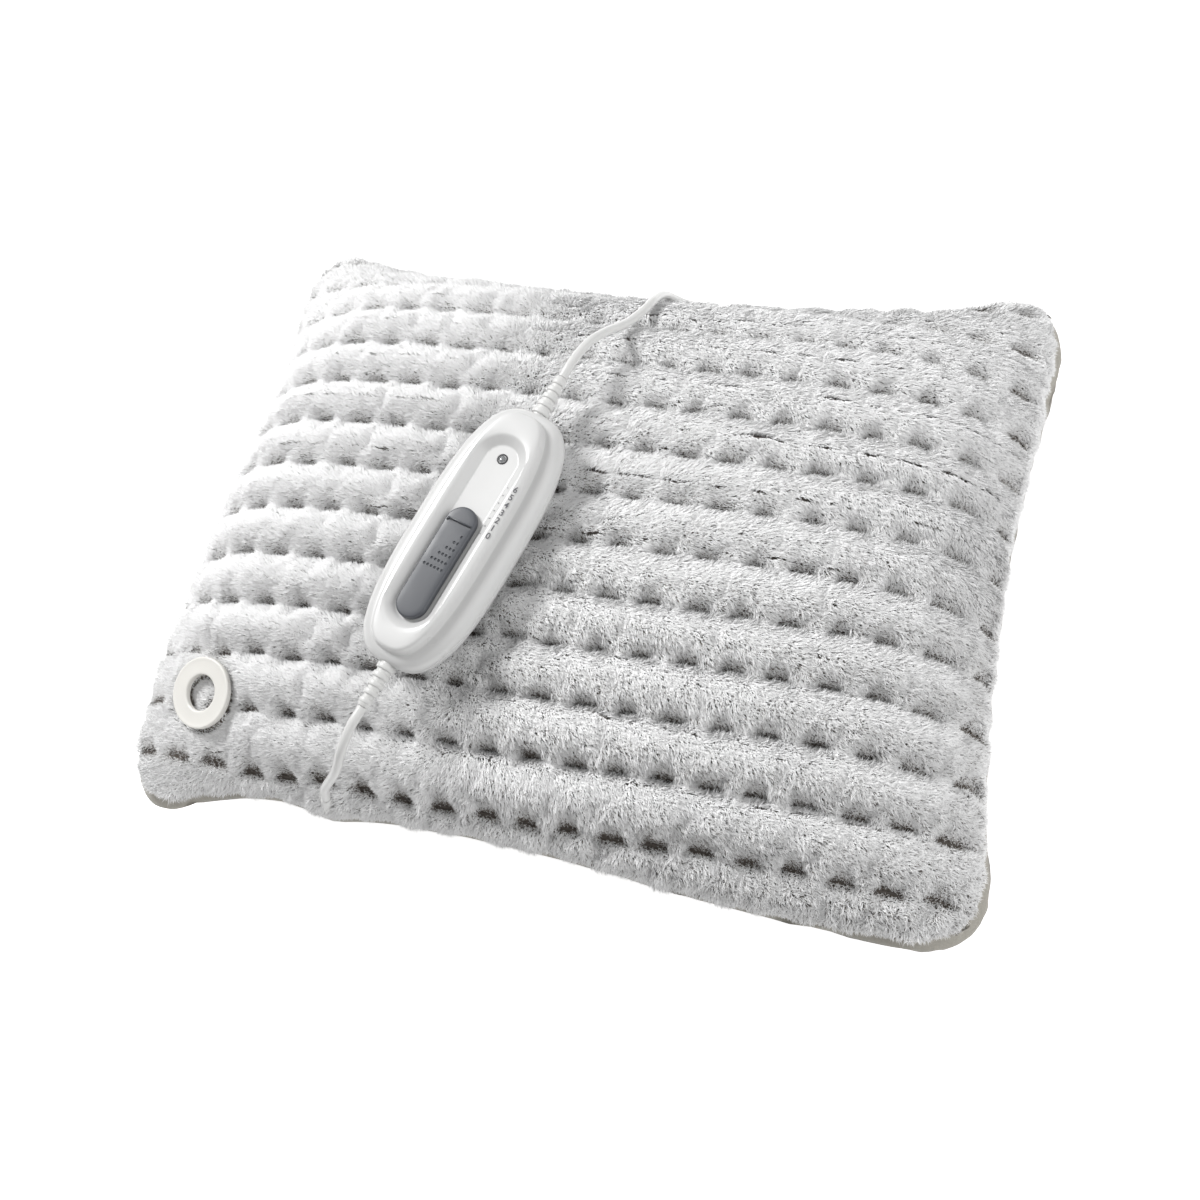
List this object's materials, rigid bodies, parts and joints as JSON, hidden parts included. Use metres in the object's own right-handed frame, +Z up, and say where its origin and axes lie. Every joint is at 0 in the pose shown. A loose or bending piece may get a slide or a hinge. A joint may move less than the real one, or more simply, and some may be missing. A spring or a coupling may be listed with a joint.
{
  "type": "heating pad with controller",
  "caption": "Stuffed quilted plush heating pad with a smooth back, an in-line slider controller on two leads, a trim ring and a two-pin plug.",
  "frame": {"origin": "on the floor, under the centre of the pad without its leads", "axes": "+Z up, +X along the quilting rows, +Y to the back edge where the mains lead leaves"},
  "size_m": [0.4014, 0.3205, 0.1252],
  "materials": {
    "plush_fabric": "long soft pile, matte",
    "back_fabric": "short smooth microfibre, matte",
    "wadding": "loose fibre, matte",
    "case_white": "satin moulded",
    "soft_white": "smooth flexible PVC",
    "ivory_plastic": "satin moulded",
    "slate_plastic": "fine grain moulded",
    "black_plastic": "moulded",
    "copper": "plain drawn metal",
    "steel": "plain",
    "board_green": "lacquered laminate",
    "smoke_glass": "polished"
  },
  "bodies": {
    "pad": {"plush_cover": "plush_fabric", "back_cover": "back_fabric", "upper_wadding": "wadding", "lower_wadding": "wadding", "heater_carrier": "wadding", "heating_wire": "copper", "thermostat": "steel", "thermal_fuse": "ivory_plastic", "lead_junction": "soft_white", "inner_lead": "soft_white", "seam_gland": "soft_white", "trim_ring": "ivory_plastic", "case_top": "case_white", "case_bottom": "case_white", "case_screw_front_left": "steel", "case_screw_front_right": "steel", "case_screw_back_left": "steel", "case_screw_back_right": "steel", "detent_rail": "steel", "circuit_board": "board_green", "contact_strip": "copper", "status_led": "ivory_plastic", "led_window": "smoke_glass", "triac": "black_plastic", "film_capacitor": "ivory_plastic", "glass_fuse": "smoke_glass", "mains_strain_relief": "soft_white", "pad_strain_relief": "soft_white", "mains_terminal_block": "black_plastic", "pad_terminal_block": "black_plastic", "mains_cord_tail": "soft_white", "pad_cord_tail": "soft_white", "mains_cord_clamp": "black_plastic", "pad_cord_clamp": "black_plastic", "pad_lead": "soft_white", "mains_lead": "soft_white", "mains_lead_hank": "soft_white", "cord_tie": "black_plastic", "plug_lead": "soft_white", "plug_strain_relief": "soft_white", "plug_body": "soft_white", "plug_pin_left": "steel", "plug_pin_right": "steel"},
    "slider": {"slider_knob": "slate_plastic", "slider_carriage": "soft_white", "wiper_contact": "copper"}
  },
  "joints": [
    {"name": "slider_travel", "type": "slide", "parent": "pad", "child": "slider", "axis": [0.2951, 0.9534, 0.0628], "range_m": [0, 0.0234]}
  ]
}
